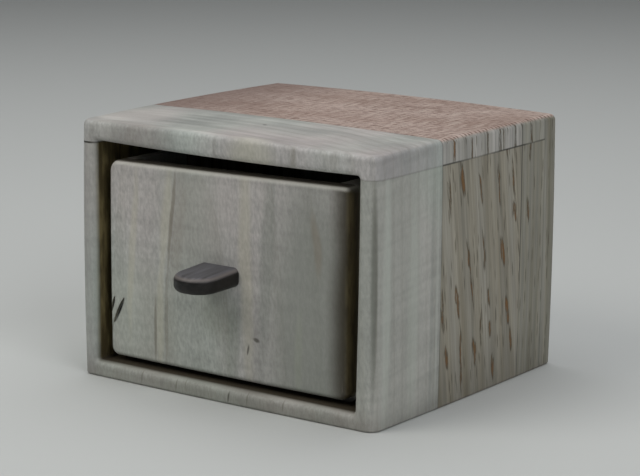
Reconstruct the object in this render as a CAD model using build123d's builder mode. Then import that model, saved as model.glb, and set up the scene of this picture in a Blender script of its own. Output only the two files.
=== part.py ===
"""A small bandsaw-made puzzle box: a laminated hardwood block sawn into a case and one drawer.

The block is three boards glued face to face, one of maple in front and two of oak behind, all
with their grain upright.  A slab is sawn off the top and a slice off the back, the drawer's core
is sawn out, and slab and back are glued on again.  The drawer is hollowed the same way, from its
own front slice, back slice and middle.  A loose steel pin in the drawer's back is the lock: when
the box is tipped to the right it slides into a notch in the case wall, and when the box is
tipped to the left it slides home again and lets the drawer out.

Frame: millimetres, origin at the centre of the base, +Z up, the drawer opens towards -Y.
"""

import os
from math import radians, tan

from build123d import *

# --- driving dimensions of the block ---------------------------------------------------------
width, depth, height = 85.8, 78.3, 63.05
front_board = 26.2            # the maple board, rough one-inch stock
middle_board = 34.7           # the wider oak board
back_slice = 6.6              # sawn off the last oak board and glued on again as the back
top_slab = 6.25               # sawn off the top and glued on again
crown_radius = 2000.0         # the outer faces are sanded to a slight crown
side_fillet, near_fillet = 1.6, 3.1     # upright edges; the right front one is rounded most
top_fillet, foot_fillet = 1.5, 0.7

# --- the bay sawn out of the block for the drawer ----------------------------------------------
left_wall, case_floor = 4.5, 3.9
right_wall_top, right_wall_foot = 5.6, 6.2     # the right wall was sawn a little out of upright
right_wall_bow = 0.25         # and a little hollow
bay_corner, bay_ceiling_corner = 0.6, 0.9
ceiling_relief, ceiling_mid_relief = 0.55, 0.14     # the slab is scraped hollow towards both walls
mouth_fillet = 1.7            # easing round the mouth of the bay

# --- the drawer ----------------------------------------------------------------------------
recess = 2.7                  # the drawer's face lies this far inside the case's front
rear_gap, floor_gap = 0.3, 0.1
front_relief = 1.2            # the front slice is sanded this far clear of the case floor
side_gap_left, side_gap_right = 2.1, 3.4    # the right one is measured at the case's floor
top_gap_left, top_gap_right = 4.05, 2.7     # the drawer was sawn a little out of level
drawer_front_slice, drawer_back_slice = 4.4, 6.2
drawer_wall, drawer_floor = 5.2, 5.6
tray_corner = 6.0             # the tightest turn of the bandsaw blade
face_crown_radius = 1400.0
# the radius at each corner of the end view; -1 is left or low, 1 is right or high
end_corner_radii = {(-1, 1): 2.8, (1, 1): 1.8, (-1, -1): 2.2, (1, -1): 2.6}
near_edge_round, face_overhang = 4.0, 1.0      # the face's right edge is rounded most
face_fillet, rear_fillet = 1.3, 0.8

# --- the pull --------------------------------------------------------------------------------
pull_width, pull_reach = 11.4, 12.9
pull_root_thick, pull_nose_thick = 4.6, 4.0
pull_x, pull_z = -2.6, 29.65  # middle of the pull where it meets the drawer's face
pull_droop = 3.5              # degrees that its top face falls towards the nose
pull_nose_fillet, pull_edge_fillet = 5.2, 1.5
root_depth = 0.3              # the tab starts this far behind the highest point of the crowned face
tenon_width, tenon_thick, tenon_length = 6.0, 2.6, 3.0

# --- bark gashes in the drawer's face: middle, lean from level, half length, half width ---------
gashes = (
    (-33.3, 16.6, 63, 3.6, 0.45),
    (-35.2, 17.9, 74, 2.0, 0.35),
)
gash_depth = 1.0

# --- the lock ----------------------------------------------------------------------------------
pin_diameter, pin_length, pin_chamfer = 3.0, 13.0, 0.3
pin_running_gap = 0.05        # between the pin and its bore, on the radius
pin_z = 40.0
pin_set_back, bore_end_gap = 0.3, 0.1
pin_travel = 6.5
notch_depth, notch_gap = 2.4, 0.35

# --- places that follow from the sizes -----------------------------------------------------------
front_y, back_y = -depth / 2, depth / 2
left_x, right_x = -width / 2, width / 2
joint_1_y = front_y + front_board
joint_2_y = joint_1_y + middle_board
back_joint_y = back_y - back_slice
slab_z = height - top_slab

bay_left_x = left_x + left_wall
bay_right_top_x, bay_right_foot_x = right_x - right_wall_top, right_x - right_wall_foot
ceiling_z = slab_z + ceiling_relief

drawer_left_x = bay_left_x + side_gap_left
drawer_right_x = bay_right_foot_x - side_gap_right
drawer_foot_z = case_floor + floor_gap
drawer_top_left_z, drawer_top_right_z = slab_z - top_gap_left, slab_z - top_gap_right
drawer_face_y = front_y + recess
drawer_rear_y = back_joint_y - rear_gap
tray_front_y = drawer_face_y + drawer_front_slice
tray_rear_y = drawer_rear_y - drawer_back_slice
drawer_mid_x = (drawer_left_x + drawer_right_x) / 2
drawer_width = drawer_right_x - drawer_left_x
drawer_height = drawer_top_right_z - drawer_foot_z

pin_y = tray_rear_y + drawer_back_slice / 2
pin_end_x = drawer_right_x - pin_set_back
bore_depth = pin_set_back + pin_length + bore_end_gap


def board(y_from, y_to, z_from, z_to):
    """One board of the lamination as a plain oversize box between its glue faces."""
    with BuildPart() as stock:
        with Locations((0, y_from, z_from)):
            Box(2 * width, y_to - y_from, z_to - z_from, align=(Align.CENTER, Align.MIN, Align.MIN))
    return stock.part


def finish(piece, name):
    """Label a piece and write its STEP file."""
    piece.part.label = name
    export_step(piece.part, f"parts/{name}.step")


os.makedirs("parts", exist_ok=True)

# --- the whole case before it is divided: a crowned, rounded block with the bay sawn out ----------
with BuildPart() as shell:
    Box(2 * width, 2 * depth, 2 * height, align=(Align.CENTER, Align.CENTER, Align.MIN))
    for outward, reach in (
        ((-1, 0, 0), width / 2),
        ((1, 0, 0), width / 2),
        ((0, -1, 0), depth / 2),
        ((0, 1, 0), depth / 2),
        ((0, 0, 1), height / 2),
    ):
        normal = Vector(*outward)
        centre = Vector(0, 0, height / 2) + normal * (reach - crown_radius)
        upright = Vector(0, 1, 0) if outward[2] else Vector(0, 0, 1)
        with Locations(Plane(origin=centre, x_dir=normal * -1, z_dir=upright)):
            Sphere(crown_radius, mode=Mode.INTERSECT)

    uprights = shell.edges().filter_by(lambda e: e.bounding_box().size.Z > height / 2)
    near = uprights.filter_by(lambda e: e.center().X > 0 and e.center().Y < 0)
    fillet(near, near_fillet)
    others = shell.edges().filter_by(
        lambda e: e.bounding_box().size.Z > height / 2
        and not (e.center().X > 0 and e.center().Y < 0)
    )
    fillet(others, side_fillet)
    fillet(shell.edges().filter_by(lambda e: e.bounding_box().min.Z > height - 2), top_fillet)
    fillet(shell.edges().filter_by(lambda e: e.bounding_box().max.Z < 0.01), foot_fillet)

    with BuildSketch(Plane.XZ.offset(-back_joint_y)) as bay:
        with BuildLine():
            Line((bay_left_x, ceiling_z), (bay_left_x, case_floor))
            Line((bay_left_x, case_floor), (bay_right_foot_x, case_floor))
            wall_mid_x = (bay_right_top_x + bay_right_foot_x) / 2 + right_wall_bow
            ThreePointArc(
                (bay_right_foot_x, case_floor),
                (wall_mid_x, (case_floor + ceiling_z) / 2),
                (bay_right_top_x, ceiling_z),
            )
            ThreePointArc(
                (bay_right_top_x, ceiling_z),
                ((bay_left_x + bay_right_top_x) / 2, slab_z + ceiling_mid_relief),
                (bay_left_x, ceiling_z),
            )
        make_face()
        fillet(bay.vertices().group_by(Axis.Y)[-1].sort_by(Axis.X)[-1], bay_ceiling_corner)
        fillet(bay.vertices().group_by(Axis.Y)[-1].sort_by(Axis.X)[0], bay_corner)
        fillet(bay.vertices().filter_by(lambda v: v.Y < case_floor + 1), bay_corner)
    extrude(amount=depth, mode=Mode.SUBTRACT)

    mouth = shell.edges().filter_by(
        lambda e: e.bounding_box().max.Y < front_y + 1
        and e.bounding_box().min.X > bay_left_x - 0.5
        and e.bounding_box().max.X < bay_right_top_x + 0.5
        and e.bounding_box().min.Z > case_floor - 0.5
        and e.bounding_box().max.Z < ceiling_z + 0.5
    )
    fillet(mouth, mouth_fillet)

# --- the case's pieces: three U-shaped blocks, three strips of the top slab, and the back -----------
case_pieces = {
    "case_front_block": board(front_y - 5, joint_1_y, -5, slab_z),
    "case_middle_block": board(joint_1_y, joint_2_y, -5, slab_z),
    "top_front_strip": board(front_y - 5, joint_1_y, slab_z, height + 5),
    "top_middle_strip": board(joint_1_y, joint_2_y, slab_z, height + 5),
    "top_rear_strip": board(joint_2_y, back_joint_y, slab_z, height + 5),
    "back_panel": board(back_joint_y, back_y + 5, -5, height + 5),
}
for name, stock in case_pieces.items():
    with BuildPart() as case_piece:
        add(shell.part)
        add(stock, mode=Mode.INTERSECT)
    finish(case_piece, name)

# the rear block also has the notch that catches the lock pin, sawn in from its back edge
notch_front_y = pin_y - pin_diameter / 2 - notch_gap
notch_height = pin_diameter + 2 * notch_gap
with BuildPart() as case_rear_block:
    add(shell.part)
    add(board(joint_2_y, back_joint_y, -5, slab_z), mode=Mode.INTERSECT)
    with Locations((bay_right_foot_x - 1, notch_front_y, pin_z)):
        Box(
            bay_right_top_x - bay_right_foot_x + 1 + notch_depth,
            back_joint_y - notch_front_y + 1,
            notch_height,
            align=(Align.MIN, Align.MIN, Align.CENTER),
            mode=Mode.SUBTRACT,
        )
finish(case_rear_block, "case_rear_block")

# --- the whole drawer before it is divided -----------------------------------------------------------
def drawer_blank(foot_z):
    """The drawer's core, eased on every edge, with its underside at the given height."""
    with BuildPart() as blank:
        with BuildSketch(Plane.XZ.offset(-drawer_rear_y)) as end_view:
            with BuildLine():
                Polyline(
                    (drawer_left_x, foot_z),
                    (drawer_right_x, foot_z),
                    (drawer_right_x, drawer_top_right_z),
                    (drawer_left_x, drawer_top_left_z),
                    close=True,
                )
            make_face()
            for (side, level), radius in end_corner_radii.items():
                corner = end_view.vertices().sort_by(lambda v: side * v.X + level * v.Y)[-1]
                fillet(corner, radius)
        extrude(amount=drawer_rear_y - drawer_face_y + face_overhang)
        with BuildSketch() as plan_view:
            with Locations((drawer_mid_x, drawer_face_y - face_overhang)):
                Rectangle(drawer_width, depth, align=(Align.CENTER, Align.MIN))
            fillet(plan_view.vertices().group_by(Axis.Y)[0].sort_by(Axis.X)[-1], near_edge_round)
        extrude(amount=height, mode=Mode.INTERSECT)
        crown_centre = (drawer_mid_x, drawer_face_y + face_crown_radius, height / 2)
        with Locations(Plane(origin=crown_centre, x_dir=(0, 1, 0), z_dir=(0, 0, 1))):
            Sphere(face_crown_radius, mode=Mode.INTERSECT)
        face_edges = blank.edges().filter_by(
            lambda e: e.bounding_box().min.Y < drawer_face_y + 0.6
            and e.bounding_box().max.Y < drawer_face_y + near_edge_round
        )
        fillet(face_edges, face_fillet)
        rear_edges = blank.edges().filter_by(lambda e: e.bounding_box().min.Y > drawer_rear_y - 0.1)
        fillet(rear_edges, rear_fillet)
    return blank.part


drawer_core = drawer_blank(drawer_foot_z)
front_core = drawer_blank(drawer_foot_z + front_relief)

# the tray's hollow, sawn right through the middle of the core in one curved cut
with BuildPart() as hollow:
    with BuildSketch(Plane.XZ.offset(-tray_rear_y)) as cut:
        with Locations((drawer_mid_x, drawer_foot_z + drawer_floor)):
            Rectangle(
                drawer_width - 2 * drawer_wall,
                drawer_height,
                align=(Align.CENTER, Align.MIN),
            )
        fillet(cut.vertices().group_by(Axis.Y)[0], tray_corner)
    extrude(amount=tray_rear_y - tray_front_y)

drawer_pieces = {
    "drawer_front_trough": board(tray_front_y, joint_1_y, 0, height),
    "drawer_middle_trough": board(joint_1_y, joint_2_y, 0, height),
    "drawer_rear_trough": board(joint_2_y, tray_rear_y, 0, height),
}
for name, stock in drawer_pieces.items():
    with BuildPart() as drawer_piece:
        add(drawer_core)
        add(stock, mode=Mode.INTERSECT)
        add(hollow.part, mode=Mode.SUBTRACT)
    finish(drawer_piece, name)

# the front slice, with the mortise that holds the pull's tenon and two gashes near its left edge
with BuildPart() as drawer_front:
    add(front_core)
    add(board(drawer_face_y - 5, tray_front_y, 0, height), mode=Mode.INTERSECT)
    with Locations((pull_x, drawer_face_y - 1, pull_z)):
        Box(
            tenon_width,
            tenon_length + 1,
            tenon_thick,
            align=(Align.CENTER, Align.MIN, Align.CENTER),
            mode=Mode.SUBTRACT,
        )
    with BuildSketch(Plane.XZ.offset(face_overhang - drawer_face_y)):
        for gash_x, gash_z, lean, half_length, half_width in gashes:
            with Locations((gash_x, gash_z)):
                Ellipse(half_length, half_width, rotation=lean)
    extrude(amount=-face_overhang - gash_depth, mode=Mode.SUBTRACT)
finish(drawer_front, "drawer_front")

# the back slice, bored from its right end for the lock pin
with BuildPart() as drawer_back:
    add(drawer_core)
    add(board(tray_rear_y, drawer_rear_y + 5, 0, height), mode=Mode.INTERSECT)
    with Locations(Plane(origin=(drawer_right_x, pin_y, pin_z), x_dir=(0, 1, 0), z_dir=(1, 0, 0))):
        Cylinder(
            pin_diameter / 2 + pin_running_gap,
            2 * bore_depth,
            mode=Mode.SUBTRACT,
        )
finish(drawer_back, "drawer_back")

# --- the pull: a drooping tab with a rounded nose, on a tenon ------------------------------------------
nose_y = drawer_face_y - pull_reach
root_y = drawer_face_y + root_depth
root_top_z, root_foot_z = pull_z + pull_root_thick / 2, pull_z - pull_root_thick / 2
nose_top_z = root_top_z - pull_reach * tan(radians(pull_droop))
with BuildPart() as drawer_pull:
    with BuildSketch(Plane.XY.offset(pull_z - pull_root_thick)) as tab_plan:
        with Locations((pull_x, nose_y)):
            Rectangle(pull_width, root_y - nose_y, align=(Align.CENTER, Align.MIN))
        fillet(tab_plan.vertices().group_by(Axis.Y)[0], pull_nose_fillet)
    extrude(amount=2 * pull_root_thick)
    with BuildSketch(Plane.YZ.offset(pull_x - pull_width)) as tab_side:
        with BuildLine():
            Polyline(
                (root_y, root_foot_z),
                (nose_y, nose_top_z - pull_nose_thick),
                (nose_y, nose_top_z),
                (root_y, root_top_z),
                close=True,
            )
        make_face()
    extrude(amount=2 * pull_width, mode=Mode.INTERSECT)
    rims = drawer_pull.edges().filter_by(
        lambda e: e.bounding_box().min.Y < root_y - 1 and abs(e.tangent_at(0.5).Z) < 0.5
    )
    fillet(rims, pull_edge_fillet)
    add(front_core, mode=Mode.SUBTRACT)
    with Locations((pull_x, drawer_face_y - 0.5, pull_z)):
        Box(
            tenon_width,
            tenon_length + 0.5,
            tenon_thick,
            align=(Align.CENTER, Align.MIN, Align.CENTER),
        )
finish(drawer_pull, "drawer_pull")

# --- the lock pin, a loose length of steel rod with broken edges ---------------------------------------
with BuildPart() as lock_pin:
    with BuildSketch(Plane(origin=(pin_end_x, pin_y, pin_z), x_dir=(0, 1, 0), z_dir=(1, 0, 0))):
        Circle(pin_diameter / 2)
    extrude(amount=-pin_length)
    chamfer(lock_pin.edges(), pin_chamfer)
finish(lock_pin, "lock_pin")
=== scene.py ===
"""The looks of a small bandsaw-made puzzle box of maple and oak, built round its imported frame."""

from math import pi, radians

import bpy
from mathutils import Matrix, Vector


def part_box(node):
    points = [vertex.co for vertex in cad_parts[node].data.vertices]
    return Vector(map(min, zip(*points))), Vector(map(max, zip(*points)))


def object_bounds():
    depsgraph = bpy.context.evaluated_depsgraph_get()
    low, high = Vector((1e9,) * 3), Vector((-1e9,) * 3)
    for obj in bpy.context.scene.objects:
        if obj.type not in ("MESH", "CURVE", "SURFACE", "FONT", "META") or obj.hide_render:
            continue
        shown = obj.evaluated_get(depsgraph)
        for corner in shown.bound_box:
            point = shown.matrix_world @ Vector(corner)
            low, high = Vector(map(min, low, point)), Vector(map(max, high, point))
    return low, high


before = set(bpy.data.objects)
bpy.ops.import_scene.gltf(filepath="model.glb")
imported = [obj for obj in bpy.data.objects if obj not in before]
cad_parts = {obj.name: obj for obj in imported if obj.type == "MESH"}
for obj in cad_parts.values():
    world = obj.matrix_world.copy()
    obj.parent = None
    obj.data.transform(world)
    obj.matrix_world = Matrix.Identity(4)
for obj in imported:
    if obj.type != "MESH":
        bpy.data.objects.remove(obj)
cad_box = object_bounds()

# --- The studio ----------------------------------------------------------------------------------
# A pale sheet of paper under the box and soft lights high above it, so that the slits round the
# drawer stay dark.  The camera stands right of the box's front and a little above its top.
MM = 0.001


def linear(code):
    """An sRGB hex colour as linear red, green, blue and alpha."""
    channels = [int(code[i : i + 2], 16) / 255 for i in (1, 3, 5)]
    return [c / 12.92 if c <= 0.04045 else ((c + 0.055) / 1.055) ** 2.4 for c in channels] + [1.0]


def put(tree, kind, *inputs, out=0, **settings):
    """Adds a node, sets it up, feeds its inputs in order (None skips one) and gives one output."""
    node = tree.nodes.new("ShaderNode" + kind)
    for name, value in settings.items():
        setattr(node, name, value)
    sockets = [s for s in node.inputs if s.enabled]
    for socket, value in zip(sockets, inputs):
        if isinstance(value, bpy.types.NodeSocket):
            tree.links.new(value, socket)
        elif value is not None:
            socket.default_value = value
    return [s for s in node.outputs if s.enabled][out]


def new_material(name):
    """An empty node material and its principled shader."""
    material = bpy.data.materials.new(name)
    material.use_nodes = True
    tree = material.node_tree
    tree.nodes.clear()
    surface = tree.nodes.new("ShaderNodeBsdfPrincipled")
    end = tree.nodes.new("ShaderNodeOutputMaterial")
    tree.links.new(surface.outputs[0], end.inputs[0])
    return material, tree, surface


low, high = cad_box
height = high.z - low.z
bpy.ops.mesh.primitive_plane_add(size=8, location=(0, 0, low.z))
floor = bpy.context.object
floor.name = "paper_floor"
paper, tree, surface = new_material("matt_paper")
surface.inputs["Base Color"].default_value = linear("#c6c8c5")
surface.inputs["Roughness"].default_value = 0.9
floor.data.materials.append(paper)

world = bpy.data.worlds.new("studio")
bpy.context.scene.world = world
world.use_nodes = True
world.node_tree.nodes["Background"].inputs["Color"].default_value = linear("#dfe4e8")
world.node_tree.nodes["Background"].inputs["Strength"].default_value = 0.10


def add_light(name, place, aim, size, power, colour):
    """A square soft light that looks at a point."""
    lamp = bpy.data.lights.new(name, "AREA")
    lamp.size, lamp.energy, lamp.color = size, power, linear(colour)[:3]
    holder = bpy.data.objects.new(name, lamp)
    holder.location = place
    holder.rotation_euler = (Vector(aim) - Vector(place)).to_track_quat("-Z", "Y").to_euler()
    bpy.context.scene.collection.objects.link(holder)


middle = Vector((0, 0, height / 2))
add_light("overhead_softbox", (-0.10, 0.15, 0.75), middle, 0.8, 3.4, "#fbfcff")
add_light("front_softbox", (-0.32, -0.54, 0.62), middle, 0.5, 2.4, "#fffdf8")
add_light("side_softbox", (0.66, -0.32, 0.58), middle, 0.5, 2.8, "#fbfcff")

azimuth, elevation, roll = radians(35.73), radians(12.0), radians(0.47)
camera = bpy.data.cameras.new("camera")
camera.lens, camera.sensor_width, camera.clip_start = 130.8, 36.0, 0.01
viewer = bpy.data.objects.new("camera", camera)
turn = Matrix.Rotation(azimuth, 4, "Z") @ Matrix.Rotation(radians(90) - elevation, 4, "X")
camera_place = Vector((320.32, -445.78, 149.14)) * MM
viewer.matrix_world = Matrix.Translation(camera_place) @ turn @ Matrix.Rotation(roll, 4, "Z")
bpy.context.scene.collection.objects.link(viewer)
bpy.context.scene.camera = viewer
bpy.context.scene.view_settings.view_transform = "Standard"

# --- The maple board -----------------------------------------------------------------------------
# A rough one-inch board of hard maple, its grain upright: the front of the case, the front strip of
# the top slab, and the front of the drawer with the first length of its tray.  It was sanded and
# oiled, so the eye gets a pale grey-beige satin with short fine fleck, faint rings and a few faults.

# outputs of the texture coordinate node
NORMAL, PLACE = 1, 3
OILED_IOR = 1.48


def dress(material, *nodes):
    """Gives CAD nodes one material."""
    for name in nodes:
        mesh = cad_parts[name].data
        mesh.materials.clear()
        mesh.materials.append(material)


def times(tree, first, second):
    """Two values multiplied."""
    return put(tree, "Math", first, second, operation="MULTIPLY")


def ramp(tree, value, start, end, first=0.0, last=1.0, soft=False):
    """Takes start..end to first..last and holds it beyond both; soft eases it at the ends."""
    easing = "SMOOTHSTEP" if soft else "LINEAR"
    return put(tree, "MapRange", value, start, end, first, last, interpolation_type=easing)


def blend(tree, share, under, over, **settings):
    """Lays one colour over another by a share from 0 to 1; a colour is a socket or a hex code."""
    under, over = (linear(c) if isinstance(c, str) else c for c in (under, over))
    return put(tree, "Mix", share, under, over, data_type="RGBA", **settings)


def tinted(tree, share, under, over):
    """Multiplies one colour by another, by a share from 0 to 1."""
    return blend(tree, share, under, over, blend_type="MULTIPLY")


def spot(tree, place, centre, radii, turn):
    """1 in the middle of an ellipsoid, 0 outside it; sizes in millimetres, turn in degrees."""
    local = put(
        tree,
        "Mapping",
        place,
        [c * MM for c in centre],
        [radians(t) for t in turn],
        [r * MM for r in radii],
        vector_type="TEXTURE",
    )
    reach = put(tree, "VectorMath", local, operation="LENGTH")
    return ramp(tree, reach, 1.0, 0.35, soft=True)


def seam(tree, coordinate, at, half_width):
    """1 on a glue line that crosses one axis at a place in millimetres, 0 beside it."""
    gap = put(tree, "Math", coordinate, -at * MM, operation="ADD")
    gap = put(tree, "Math", gap, operation="ABSOLUTE")
    return ramp(tree, gap, half_width * MM, half_width * MM * 0.3, soft=True)


def rows(tree, place, sizes, turn=(0, 0, 0), shift=(0, 0, 0), detail=3.0, rough=0.55):
    """Noise from 0 to 1 whose blotches have the given sizes in millimetres along x, y and z."""
    # a noise blotch is about half a unit wide
    blotch = 0.5
    scale = [blotch / (s * MM) for s in sizes]
    centred = put(tree, "Mapping", place, [s * MM for s in shift], turn)
    stretched = put(tree, "Mapping", centred, None, None, scale)
    return put(tree, "TexNoise", stretched, 1.0, detail, rough)


slab_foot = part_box("top_front_strip")[0].z / MM
case_front, maple_joint = (corner.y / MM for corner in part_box("case_front_block"))
case_left, case_right = low.x / MM, high.x / MM
face_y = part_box("drawer_front")[0].y / MM


def maple(name, shift=(0, 0, 0), light="#c0c5c2", deep="#a9afab", marks_and_shade=(), sawn=None, glued=True):
    """Oiled maple: shift slides its figure, faults are marks in the wood and spots of painted shade,
    sawn ("bay" or "drawer") tells which faces were never sanded, darkened partly with painted
    shade, and glued adds the glue lines."""
    material, tree, surface = new_material(name)
    place = put(tree, "TexCoord", out=PLACE)
    x, y, z = (put(tree, "SeparateXYZ", place, out=i) for i in range(3))
    normal_x, normal_z = (
        put(tree, "SeparateXYZ", put(tree, "TexCoord", out=NORMAL), out=i) for i in (0, 2)
    )
    sideways = put(tree, "Math", normal_x, operation="ABSOLUTE")
    end_grain = ramp(tree, normal_z, 0.55, 0.95, soft=True)

    # broad upright bands, 6 mm wide, in two greys
    bands = rows(tree, place, (6, 6, 90), (0, radians(4), 0), shift, 2.0)
    bands = ramp(tree, bands, 0.35, 0.65)
    colour = blend(tree, bands, deep, light)
    # soft greenish and pinkish patches, 16 mm across
    patch = rows(tree, place, (16, 16, 34), (0, 0, 0), shift, 1.0)
    patch = ramp(tree, patch, 0.40, 0.60)
    tint = blend(tree, patch, "#f5f9f0", "#fdf5f0")
    colour = tinted(tree, 1.0, colour, tint)

    # growth rings nearly flat to the board's face, bowed about a line left of its middle
    ring_gap, crown_x = 3.2, -8
    bow_rate, tilt_rate, wander_reach = 5.5, 0.02, 6
    bow = put(tree, "Math", x, -crown_x * MM, operation="ADD")
    bow = put(tree, "Math", bow, 2.0, operation="POWER")
    depth_in = put(tree, "Math", bow, bow_rate, y, operation="MULTIPLY_ADD")
    depth_in = put(tree, "Math", z, tilt_rate, depth_in, operation="MULTIPLY_ADD")
    wander = rows(tree, place, (30, 30, 120), (0, 0, 0), shift, 1.0)
    depth_in = put(tree, "Math", wander, wander_reach * MM, depth_in, operation="MULTIPLY_ADD")
    ring = put(tree, "Math", times(tree, depth_in, 1 / (ring_gap * MM)), operation="FRACT")
    ring = ramp(tree, ring, 0.55, 1.0, soft=True)
    colour = blend(tree, times(tree, ring, 0.20), colour, "#8f8a7d")

    # short upright fleck, a third of a millimetre wide, and fine fibre
    fleck = rows(tree, place, (0.32, 0.32, 0.8), (0, radians(6), 0), shift, 3.0, 0.65)
    fleck = ramp(tree, fleck, 0.36, 0.64, 0.84, 1.11)
    fibre = rows(tree, place, (0.3, 0.3, 6.0), (0, 0, 0), shift, 2.0)
    fibre = ramp(tree, fibre, 0.35, 0.65, 0.96, 1.03)
    plain = ramp(tree, sideways, 0.5, 0.9, 0.0, 0.6)
    shade = put(tree, "Mix", plain, times(tree, fleck, fibre), 0.98, data_type="FLOAT")
    # curl: soft ripples across the grain, which show on the sides
    curl = rows(tree, place, (30, 16, 1.3), (radians(-8), 0, 0), shift, 1.5)
    curl = ramp(tree, curl, 0.36, 0.56, 0.91, 1.02)
    shade = times(tree, shade, curl)
    # the end grain has no fleck, only faint bands from left to right
    strips = rows(tree, place, (26, 1.3, 40), (0, 0, radians(4)), shift, 3.0)
    strips = ramp(tree, strips, 0.35, 0.65, 0.76, 1.02)
    shade = put(tree, "Mix", end_grain, shade, strips, data_type="FLOAT")
    colour = tinted(tree, end_grain, colour, "#fffaf8")
    colour = tinted(tree, 1.0, colour, put(tree, "CombineColor", shade, shade, shade))

    # faults: knots, gashes and streaks, and spots of painted shade; the long streaks are a little
    # crooked
    long_streak, crook_reach = 8, 3
    crook = put(tree, "Math", rows(tree, place, (12, 12, 12), detail=2.0), -0.5, operation="ADD")
    crook = put(tree, "CombineXYZ", times(tree, crook, crook_reach * MM), 0.0, 0.0)
    crooked = put(tree, "VectorMath", place, crook, operation="ADD")
    for centre, radii, turn, strength, code in marks_and_shade:
        mark = spot(tree, crooked if radii[2] > long_streak else place, centre, radii, turn)
        mark = times(tree, mark, strength)
        colour = blend(tree, mark, colour, code)

    # sawn faces that were never sanded, inside the bay and round the drawer, are darker: partly
    # oil-soaked wood, partly painted shade in the bay's recess and in the slits round the drawer
    if sawn == "bay":
        mouth_front, mouth_back = case_front + 0.9, case_front + 2.2
        sawn_and_shaded = ramp(tree, y, mouth_front * MM, mouth_back * MM)
        outside, inside = 39.2, 38.8
        within = put(tree, "Math", x, operation="ABSOLUTE")
        within = ramp(tree, within, outside * MM, inside * MM)
        sawn_and_shaded = times(tree, sawn_and_shaded, within)
    if sawn == "drawer":
        # painted shade: the drawer's top and sides, seen only through the slits, are painted dark
        upward = ramp(tree, normal_z, 0.75, 0.97, 0.0, 0.92)
        flank = ramp(tree, sideways, 0.35, 0.9, 0.0, 0.6)
        sawn_and_shaded = put(tree, "Math", upward, flank, operation="MAXIMUM")
        # painted highlight: the rounded upper edge is painted paler than the face, for the light it
        # catches
        edge = ramp(tree, normal_z, 0.10, 0.55, 0.0, 0.55)
        upper = ramp(tree, z, 30 * MM, 48 * MM)
        edge = times(tree, edge, upper)
        colour = blend(tree, edge, colour, "#e6e4da")
    if sawn:
        sawn_and_shade_colour = rows(tree, place, (3, 0.9, 5), (0, 0, 0), shift, 3.0, 0.65)
        sawn_and_shade_colour = ramp(tree, sawn_and_shade_colour, 0.40, 0.62)
        sawn_and_shade_colour = blend(tree, sawn_and_shade_colour, "#4a4129", "#786c4a")
        # painted shade: level faces are painted darker, for dust and for the shade they lie in
        dust_and_shade = ramp(tree, normal_z, 0.2, 0.8)
        sawn_and_shade_colour = blend(tree, dust_and_shade, sawn_and_shade_colour, "#40382a")
        colour = blend(tree, sawn_and_shaded, colour, sawn_and_shade_colour)
    # painted shade: the foot is painted darker and greyer, for the shade near the ground
    foot_shade = ramp(tree, z, 0.0, 6 * MM, 0.32, 0.0)
    colour = blend(tree, foot_shade, colour, "#5f5d55")

    # glue lines: under the slab, darkest at the left, and against the oak
    if glued:
        glue = seam(tree, z, slab_foot, 0.32)
        left = ramp(tree, x, (case_left + 6) * MM, (case_left + 3) * MM, 0.22, 1.0)
        glue = times(tree, glue, left)
        board_end = times(tree, seam(tree, y, maple_joint, 0.3), 0.35)
        glue = put(tree, "Math", glue, board_end, operation="MAXIMUM")
        colour = blend(tree, glue, colour, "#2e2b22")

    tree.links.new(colour, surface.inputs["Base Color"])
    tree.links.new(ramp(tree, fleck, 0.84, 1.09, 0.56, 0.44), surface.inputs["Roughness"])
    relief = put(tree, "Bump", 0.35, 0.04 * MM, None, shade)
    tree.links.new(relief, surface.inputs["Normal"])
    surface.inputs["IOR"].default_value = OILED_IOR
    return material


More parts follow.
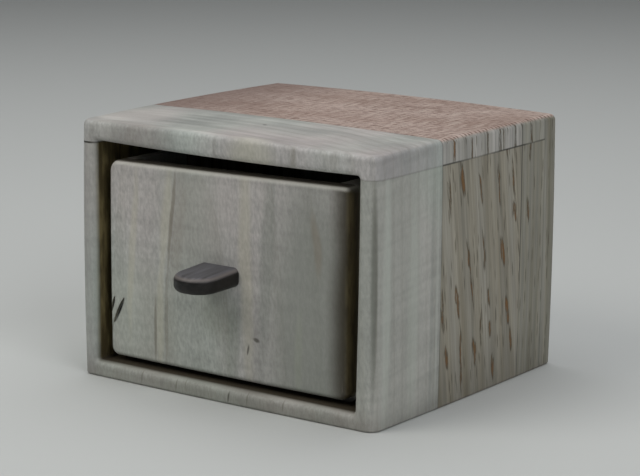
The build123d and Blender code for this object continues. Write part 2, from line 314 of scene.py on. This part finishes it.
growth_line, pale_line = "#655844", "#c6c1a8"
drawer_marks_and_shade = (
    # warm, olive and bluish regions of the board
    ((-10, face_y, 44), (16, 9, 20), (0, 0, 0), 0.30, "#aba39d"),
    ((-26, face_y, 14), (14, 9, 22), (0, 0, 0), 0.30, "#a4a696"),
    # painted shade: this broad grey patch darkens the lower right of the face, where less light
    # falls
    ((24.0, face_y, 22), (18, 9, 48), (0, 0, 0), 0.75, "#82867e"),
    ((-2.5, face_y, 20), (8, 9, 8), (0, 0, 0), 0.38, "#7e8272"),
    # growth ring edges that run down a little to the left, with pale, warm and olive bands between
    ((-18.5, face_y, 41), (2.0, 6, 17), (0, 5, 0), 0.32, pale_line),
    ((-16.8, face_y, 41), (0.80, 6, 17), (0, 5, 0), 0.50, growth_line),
    ((-14.8, face_y, 40), (3.0, 6, 20), (0, 5, 0), 0.22, "#8a7f72"),
    ((-20.3, face_y, 17), (1.5, 6, 19), (0, 3, 0), 0.30, pale_line),
    ((-18.5, face_y, 17), (0.75, 6, 19), (0, 3, 0), 0.34, growth_line),
    ((-21.8, face_y, 14), (0.60, 6, 11), (0, 2, 0), 0.48, growth_line),
    ((-28.5, face_y, 32), (1.4, 6, 28), (0, 3, 0), 0.30, pale_line),
    ((5.3, face_y, 33), (2.6, 6, 42), (0, -2, 0), 0.32, pale_line),
    ((11.2, face_y, 34), (2.6, 6, 34), (0, 3, 0), 0.36, "#6f776e"),
    ((1.5, face_y, 14), (3.0, 6, 14), (0, 4, 0), 0.28, "#74806f"),
    ((24.4, face_y, 40), (1.6, 6, 10), (0, -8, 0), 0.40, "#857764"),
    ((20.0, face_y, 14), (1.6, 6, 14), (0, 3, 0), 0.25, "#9aa08c"),
    # painted shade: the rounded right edge, turned away into the slit beside the drawer, is painted
    # dark brown
    ((35.2, face_y, 29), (8.4, 5.5, 90), (0, 0, 0), 0.95, "#332c1a"),
    # the gashes near the left edge hold dark bark
    ((-33.3, face_y + 0.4, 16.6), (0.80, 1.8, 4.6), (0, 27, 0), 1.0, "#080604"),
    ((-35.2, face_y + 0.6, 17.9), (0.55, 1.6, 2.4), (0, 16, 0), 1.0, "#100e0a"),
    ((-35.6, face_y, 12.0), (0.35, 2.0, 3.0), (0, 14, 0), 0.6, "#3c382d"),
    # two pin knots right of the middle
    ((8.1, face_y, 15.7), (1.3, 2, 0.7), (0, 15, 0), 0.75, "#3b372b"),
    ((5.7, face_y, 13.0), (0.4, 2, 1.8), (0, 12, 0), 0.70, "#35322a"),
)
case_marks_and_shade = (
    # a dark stripe up the near right corner, and a pale and a dark one beside the oak
    ((case_right - 0.6, case_front + 1.0, 32), (2.0, 0.9, 38), (0, 0, 0), 0.72, "#5a5a4f"),
    ((case_right, case_front + 4.5, 30), (3, 2.2, 45), (0, 0, 0), 0.40, "#ccd2c8"),
    ((case_right, -24, 26), (3, 3.0, 40), (0, 1, 0), 0.30, "#c4ccc0"),
    ((39.5, case_front, 30), (4.5, 2.5, 46), (0, 0, 0), 0.45, "#858b84"),
    ((case_right, -14.4, 28), (3.0, 0.7, 45), (0, 0, 0), 0.35, "#c9ccc4"),
    ((case_right, -16.6, 24), (3.0, 0.9, 40), (0, 0, 0), 0.25, "#6f756f"),
    ((-41.5, case_front, 28), (5, 4, 60), (0, 0, 0), 0.45, "#a19d9f"),
    # the lip under the drawer is browner, partly painted shade near the ground, with dark ticks
    ((0, case_front, 0.5), (70, 5, 6.5), (0, 0, 0), 0.35, "#948a84"),
    ((2.0, case_front, 1.8), (0.35, 2, 1.8), (0, 8, 0), 0.75, "#3f3a30"),
    ((-24.0, case_front, 2.4), (0.30, 2, 2.4), (0, 4, 0), 0.45, "#57503f"),
    ((-13.5, case_front, 2.2), (0.25, 2, 2.2), (0, 6, 0), 0.45, "#57503f"),
    ((-10.8, case_front, 2.6), (0.25, 2, 2.0), (0, 3, 0), 0.40, "#57503f"),
    ((7.4, case_front, 2.4), (0.25, 2, 2.4), (0, 5, 0), 0.40, "#57503f"),
    ((17.6, case_front, 2.6), (0.30, 2, 2.0), (0, 4, 0), 0.35, "#57503f"),
)
slab_faults = (
    ((-34, -26, 63), (14, 14, 3), (0, 0, 0), 0.35, "#d6cfc8"),
    ((-26, case_front, 58), (16, 4, 12), (0, 0, 0), 0.35, "#867d75"),
    ((8, case_front, 58), (9, 4, 9), (0, 0, 0), 0.35, "#cac8b0"),
    ((20, case_front, 59), (1.0, 3, 5), (0, 4, 0), 0.30, "#7d7967"),
    ((-0.2, -22.4, high.z / MM), (0.75, 0.6, 2), (0, 0, 0), 0.9, "#33302a"),
    ((-2.0, case_front, 59.5), (0.8, 2, 4), (0, 0, 0), 0.28, "#5b574c"),
    ((31.0, case_front, 60.0), (1.8, 2, 4), (0, 0, 0), 0.25, "#7d7367"),
)
dress(maple("maple_case", marks_and_shade=case_marks_and_shade, sawn="bay"), "case_front_block")
dress(maple("maple_slab", (3, 0, 5), "#c0c3c4", "#abaeb0", slab_faults), "top_front_strip")
dress(
    maple("maple_drawer", (0, 0, 0), "#c0c2c3", "#aeb0b0", drawer_marks_and_shade, "drawer", False),
    "drawer_front",
)
# painted shade: the tray's foot, just behind the front slice, is painted near black for the slit
# under the drawer
front_slice = 4.4
tray_foot_shade = (((0, face_y + front_slice, 4.2), (90, 3, 3), (0, 0, 0), 1.0, "#1b1812"),)
dress(maple("maple_tray", marks_and_shade=tray_foot_shade, glued=False), "drawer_front_trough")

# --- The two oak boards --------------------------------------------------------------------------
# Ring-porous oak, oiled over open pores: the wide board behind the maple, and a narrow, finer one
# whose last slice is the back.  The eye gets grey-brown wood with orange-brown lens-shaped pore
# streaks on its sides, and a reddish end grain with rows of pores and pale rays.
oak_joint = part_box("case_middle_block")[1].y / MM
back_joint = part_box("back_panel")[0].y / MM


def oak(name, lean, ring, streaks, light, deep, shift=(0, 0, 0), seams=(), under_slab=0.8, marks=()):
    """Oiled oak: lean tips its grain backwards, ring is its ring width, streaks the share of lenses,
    seams are glue lines (place and strength), and marks are single lenses."""
    material, tree, surface = new_material(name)
    place = put(tree, "TexCoord", out=PLACE)
    x, y, z = (put(tree, "SeparateXYZ", place, out=i) for i in range(3))
    normal_z = put(tree, "SeparateXYZ", put(tree, "TexCoord", out=NORMAL), out=2)
    normal_z = put(tree, "Math", normal_z, operation="ABSOLUTE")
    end_grain = ramp(tree, normal_z, 0.45, 0.9, soft=True)

    # rings run left to right, turned out of square by some degrees, with a little wander
    out_of_square = 12
    turned = (radians(-lean), 0, radians(-out_of_square))
    tipped = put(tree, "Mapping", place, [s * MM for s in shift], turned)
    across = put(tree, "SeparateXYZ", tipped, out=1)
    wander = rows(tree, tipped, (25, 12, 90), detail=1.0)
    across = put(tree, "Math", wander, 2.2 * ring * MM, across, operation="MULTIPLY_ADD")
    turns = times(tree, across, 1 / (ring * MM))
    turns = put(tree, "Math", turns, 0.5, operation="PINGPONG")
    early = ramp(tree, turns, 0.13, 0.03, soft=True)
    late = ramp(tree, turns, 0.10, 0.42)

    # the ground of the long grain, paler in the latewood, with bluish and brownish upright bands
    bands = rows(tree, tipped, (2.6, 2.2, 60), detail=2.0)
    bands = ramp(tree, bands, 0.34, 0.66)
    ground = blend(tree, bands, deep, light)
    ground = blend(tree, times(tree, late, 0.25), ground, "#9b9c98")
    fibre = rows(tree, tipped, (0.42, 0.42, 11.0), detail=3.0, rough=0.6)
    fibre = ramp(tree, fibre, 0.34, 0.66, 0.76, 1.13)
    ground = tinted(tree, 1.0, ground, put(tree, "CombineColor", fibre, fibre, fibre))

    # open pores: slits 0.4 mm wide and 3.5 mm long, crowded in the earlywood
    slit_scale = [1 / (s * MM) for s in (0.62, 0.62, 5.5)]
    slits = put(tree, "Mapping", tipped, None, None, slit_scale)
    reach = put(tree, "TexVoronoi", slits, 1.0)
    chosen = put(tree, "SeparateColor", put(tree, "TexVoronoi", slits, 1.0, out=1))
    crowd = ramp(tree, early, 0.0, 1.0, 0.80, 0.35)
    chosen = put(tree, "Math", chosen, crowd, operation="GREATER_THAN")
    pore = ramp(tree, reach, 0.44, 0.20, soft=True)
    pore = times(tree, pore, chosen)
    long_grain = blend(tree, times(tree, pore, 0.6), ground, "#544d3d")

    # lenses: where a row of large pores runs out of the surface, 1.2 mm wide and 9 mm long,
    # dark at their ends and orange brown in the middle of the largest
    lens_scale = [1 / (s * MM) for s in (2.6, 2.6, 19.0)]
    lenses = put(tree, "Mapping", tipped, (0.3, 0.7, 0.2), None, lens_scale)
    reach = put(tree, "TexVoronoi", lenses, 1.0)
    chance = put(tree, "TexVoronoi", lenses, 1.0, out=1)
    picked = put(tree, "SeparateColor", chance)
    picked = put(tree, "Math", picked, 1 - streaks, operation="GREATER_THAN")
    lens = ramp(tree, reach, 0.30, 0.04)
    lens = times(tree, lens, picked)
    # their outlines step from vessel to vessel
    step_reach = 1.8
    step = put(tree, "Math", rows(tree, tipped, (0.4, 0.4, 3.0), detail=2.0), -0.5, operation="ADD")
    step = put(tree, "CombineXYZ", 0.0, times(tree, step, step_reach * MM), 0.0)
    stepped = put(tree, "VectorMath", place, step, operation="ADD")
    for centre, radii, tilt, strength in marks:
        mark = spot(tree, stepped, centre, radii, (tilt, 0, 0))
        mark = times(tree, mark, strength)
        lens = put(tree, "Math", lens, mark, operation="MAXIMUM")
    ragged = rows(tree, tipped, (0.22, 0.22, 2.0), detail=3.0, rough=0.7)
    ragged = ramp(tree, ragged, 0.36, 0.60, 0.15, 1.40)
    lens = times(tree, lens, ragged)
    lens_colour = ramp(tree, lens, 0.45, 0.95)
    lens_colour = blend(tree, lens_colour, "#49412f", "#7d5526")
    lens = ramp(tree, lens, 0.05, 0.50, 0.0, 0.88)
    long_grain = blend(tree, lens, long_grain, lens_colour)

    # end grain: reddish brown, evenly spaced rows of pores, pale rays front to back
    row_gap = 1.5
    warm = rows(tree, place, (14, 4, 40), (0, 0, radians(-8)), detail=2.0)
    warm = ramp(tree, warm, 0.35, 0.65)
    end_colour = blend(tree, warm, "#ab9488", "#c3afa4")
    row_y = put(tree, "Math", x, -0.09, y, operation="MULTIPLY_ADD")
    waver = rows(tree, place, (5, 2.5, 40), detail=2.0)
    row_phase = times(tree, row_y, 2 * pi / (row_gap * MM))
    row_phase = put(tree, "Math", waver, 14.0, row_phase, operation="MULTIPLY_ADD")
    row_wave = put(tree, "Math", row_phase, operation="SINE")
    row_wave = ramp(tree, row_wave, -0.8, 0.4, -0.2, 0.80)
    dashes = rows(tree, place, (0.9, 0.45, 40), (0, 0, radians(-5)), detail=2.0, rough=0.6)
    dashes = ramp(tree, dashes, 0.38, 0.60, 0.0, 0.65)
    pore_rows = put(tree, "Math", row_wave, dashes, operation="ADD", use_clamp=True)
    end_colour = blend(tree, pore_rows, "#6f5548", end_colour)
    ray = rows(tree, place, (0.3, 5.0, 40), (0, 0, radians(-6)), detail=1.0)
    ray = ramp(tree, ray, 0.55, 0.68, 0.0, 0.50)
    end_colour = blend(tree, ray, end_colour, "#cbbcb0")
    # painted shade: the end grain is painted darker towards the left end, where the light falls off
    left_end_shade = ramp(tree, x, (case_left + 34) * MM, case_left * MM, 0.0, 0.65)
    end_colour = blend(tree, left_end_shade, end_colour, "#6b5750")
    colour = blend(tree, end_grain, long_grain, end_colour)

    # painted shade: the foot is painted darker and greyer, for the shade near the ground
    foot_shade = ramp(tree, z, 0.0, 14 * MM, 0.30, 0.0)
    colour = blend(tree, foot_shade, colour, "#5a574b")
    # glue lines
    lines = [(seam(tree, y, at, 0.34), strength) for at, strength in seams if strength]
    if under_slab:
        lines.append((seam(tree, z, slab_foot, 0.30), under_slab))
    # squeezed-out glue was sanded off the top, and thinly in places elsewhere
    wiped = rows(tree, place, (4, 4, 9), detail=2.0)
    wiped = ramp(tree, wiped, 0.35, 0.60, 0.35, 1.0)
    wiped = times(tree, wiped, ramp(tree, end_grain, 0.0, 1.0, 1.0, 0.1))
    for line, strength in lines:
        line = times(tree, line, strength)
        line = times(tree, line, wiped)
        colour = blend(tree, line, colour, "#26241d")

    tree.links.new(colour, surface.inputs["Base Color"])
    dents = put(tree, "Math", pore, lens, operation="MAXIMUM")
    tree.links.new(ramp(tree, dents, 0.0, 1.0, 0.48, 0.75), surface.inputs["Roughness"])
    level = put(tree, "Math", dents, -1.0, fibre, operation="MULTIPLY_ADD")
    tree.links.new(put(tree, "Bump", 0.4, 0.08 * MM, None, level), surface.inputs["Normal"])
    surface.inputs["IOR"].default_value = OILED_IOR
    return material


wide_light, wide_deep = "#a7a192", "#877f6c"
wide_seams = ((maple_joint, 0.45), (oak_joint, 0.7))
# the large lenses on the case's right side: back from its middle, up, half width, half length,
# lean, and how open each is
side_lenses = [
    ((case_right, y, z), (3, half_width, half_length), tilt, strength)
    for y, z, half_width, half_length, tilt, strength in (
        (-9.7, 48.9, 0.9, 6.5, 6, 0.55),
        (-4.5, 52.4, 1.0, 5.2, 12, 1.25),
        (3.3, 48.8, 0.6, 5.4, 13, 0.85),
        (11.6, 47.8, 0.6, 8.0, 8, 0.70),
        (18.0, 49.3, 0.6, 7.5, 8, 0.65),
        (18.8, 41.4, 0.9, 3.6, 13, 1.10),
        (13.7, 32.6, 1.0, 4.9, 14, 1.25),
        (-1.3, 33.6, 0.7, 3.0, 9, 0.55),
        (5.0, 34.7, 0.6, 7.5, 9, 0.65),
        (-5.8, 24.0, 0.9, 5.6, 14, 1.05),
        (-0.6, 29.6, 0.7, 12.0, 11, 0.80),
        (2.0, 10.5, 0.9, 5.1, 12, 1.00),
        (8.0, 22.3, 0.7, 3.5, 10, 0.90),
        (8.8, 14.7, 0.7, 3.0, 5, 0.90),
        (16.4, 17.8, 0.9, 4.6, 11, 1.20),
        (18.4, 10.3, 0.8, 4.2, 10, 0.85),
        (4.6, 17.3, 0.5, 8.5, 1, 0.50),
        (10.5, 5.1, 0.7, 4.3, 6, 0.95),
        (-3.9, 9.8, 0.6, 10.5, 4, 0.85),
        (-10.0, 11.6, 0.9, 4.0, 12, 1.05),
        (-12.0, 22.4, 0.7, 7.5, 5, 0.70),
    )
]
slab_lenses = [
    ((case_right, y, z), (4, half_width, 6), 2, strength)
    for y, z, half_width, strength in (
        (-8.0, 59.0, 0.75, 1.0),
        (-0.6, 58.6, 0.65, 0.50),
        (6.3, 58.8, 0.65, 0.52),
        (11.6, 59.0, 0.6, 0.46),
        (13.2, 59.0, 0.5, 0.44),
        (18.6, 59.0, 0.6, 0.48),
    )
]
dress(oak("oak_wide", 7, 6.4, 0.08, wide_light, wide_deep, (0, 2, 0), wide_seams,
          marks=side_lenses), "case_middle_block")
dress(oak("oak_wide_slab", 2, 6.4, 0.04, "#bdbab4", "#a6a298", (0, 5, 9), wide_seams,
          marks=slab_lenses), "top_middle_strip")
dress(oak("oak_wide_drawer", 7, 6.4, 0.15, wide_light, wide_deep, (0, 2, 0), under_slab=0),
      "drawer_middle_trough")
narrow_light, narrow_deep = "#9c988a", "#7e7967"
narrow_seams = ((oak_joint, 0.7), (back_joint, 0.4))
narrow_lenses = [
    ((case_right, 25.5, 54.9), (3, 0.6, 3.2), 3, 0.6),
    ((case_right, 25.0, 40.7), (3, 0.6, 4.6), 3, 0.7),
]
dress(oak("oak_narrow", 0, 3.2, 0.03, narrow_light, narrow_deep, (0, 0, 0), narrow_seams,
          marks=narrow_lenses), "case_rear_block")
dress(oak("oak_narrow_slab", 0, 3.2, 0.02, "#aaa79b", "#918e81", (0, 1, 7), narrow_seams,
          marks=[((case_right, 26.1, 58.6), (4, 0.65, 6), 3, 0.6)]), "top_rear_strip")
dress(oak("oak_narrow_drawer", 0, 3.2, 0.05, narrow_light, narrow_deep, under_slab=0),
      "drawer_rear_trough", "drawer_back")
dress(oak("oak_back", 0, 3.2, 0.05, narrow_light, narrow_deep, (0, 0, 3), ((back_joint, 0.4),), 0),
      "back_panel")

# --- The pull ------------------------------------------------------------------------------------
# A tab of a near-black hardwood, shaped on a sander and tenoned into the drawer's face.  Polished
# with oil, it gives a dark brown with faint streaks along its length, and a painted greyish sheen.
ebony, tree, surface = new_material("polished_dark_hardwood")
place = put(tree, "TexCoord", out=PLACE)
streak = rows(tree, place, (0.5, 9, 0.5), detail=3.0)
streak = ramp(tree, streak, 0.35, 0.65)
pull_colour = blend(tree, streak, "#0f0f0f", "#211e1c")
# painted sheen: its upper face is painted paler and greyer, for the greyish sheen it shows
upward = put(tree, "SeparateXYZ", put(tree, "TexCoord", out=NORMAL), out=2)
above = ramp(tree, upward, 0.25, 0.90, 0.0, 0.80)
sheen_colour = blend(tree, streak, "#454346", "#6b6a6f")
pull_colour = blend(tree, above, pull_colour, sheen_colour)
# painted highlight: the rounded rim is painted palest, for the light it catches
rim = ramp(tree, upward, 0.70, 0.97, 0.6, 0.0)
rim = times(tree, rim, ramp(tree, upward, 0.3, 0.6))
pull_colour = blend(tree, rim, pull_colour, "#837b76")
tree.links.new(pull_colour, surface.inputs["Base Color"])
tree.links.new(ramp(tree, streak, 0.0, 1.0, 0.38, 0.50), surface.inputs["Roughness"])
grain = rows(tree, place, (0.25, 3, 0.25), detail=2.0)
tree.links.new(put(tree, "Bump", 0.3, 0.03 * MM, None, grain), surface.inputs["Normal"])
surface.inputs["IOR"].default_value = 1.38
dress(ebony, "drawer_pull")

# --- The lock pin --------------------------------------------------------------------------------
# A loose length of bright drawn steel rod in the drawer's back.  Drawing leaves fine bright lines
# along it, and handling a few duller patches.
steel, tree, surface = new_material("drawn_steel")
place = put(tree, "TexCoord", out=PLACE)
lines = rows(tree, place, (8, 0.08, 0.08), detail=2.0)
lines = ramp(tree, lines, 0.35, 0.65)
tree.links.new(blend(tree, lines, "#b3b4b5", "#c9cacb"), surface.inputs["Base Color"])
dull = rows(tree, place, (2.5, 1.5, 1.5), detail=2.0)
tree.links.new(ramp(tree, dull, 0.35, 0.65, 0.22, 0.40), surface.inputs["Roughness"])
tree.links.new(put(tree, "Bump", 0.15, 0.01 * MM, None, lines), surface.inputs["Normal"])
surface.inputs["Metallic"].default_value = 1.0
dress(steel, "lock_pin")
